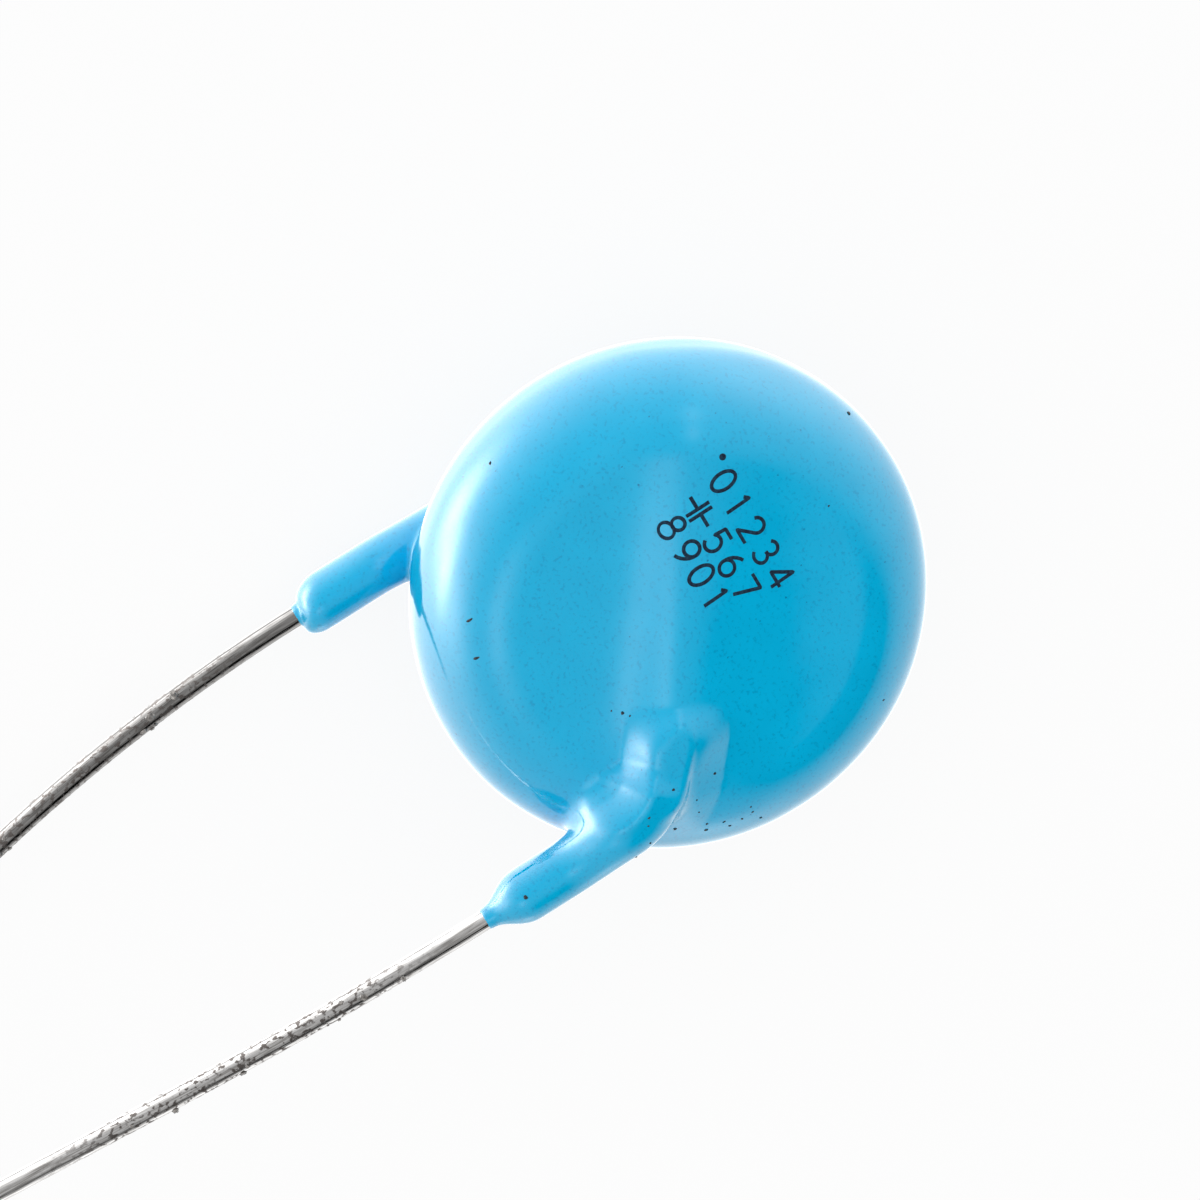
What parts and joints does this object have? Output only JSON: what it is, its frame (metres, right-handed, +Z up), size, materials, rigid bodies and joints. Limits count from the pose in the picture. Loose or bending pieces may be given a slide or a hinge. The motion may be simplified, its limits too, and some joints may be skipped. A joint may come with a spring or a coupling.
{
  "type": "leaded high-voltage ceramic disc capacitor",
  "caption": "Ceramic disc capacitor dip coated in glossy blue resin, with long tinned wire leads that bow gently towards each other.",
  "frame": {"origin": "where the axis of the disc meets the surface the part lies on; the surface is level with the resin that stands proud over the bend of the back lead", "axes": "+Z up, along the axis of the disc and out of the printed front face; +Y in the plane of the disc from the leads to the far edge; +X across the two leads, from the back lead to the front lead"},
  "size_m": [0.0164, 0.0424, 0.0081],
  "materials": {
    "resin": "glossy dip-coated epoxy, light blue",
    "ceramic": "fired, fine grained, unglazed",
    "silver": "fired silver film, matte white metal",
    "solder": "bright tin solder",
    "tinned_wire": "tinned, bright, with specks of soldering dirt"
  },
  "bodies": {
    "root": {"ceramic_disc": "ceramic", "front_electrode": "silver", "back_electrode": "silver", "front_solder_joint": "solder", "back_solder_joint": "solder", "front_lead": "tinned_wire", "back_lead": "tinned_wire", "coating": "resin"}
  },
  "joints": []
}
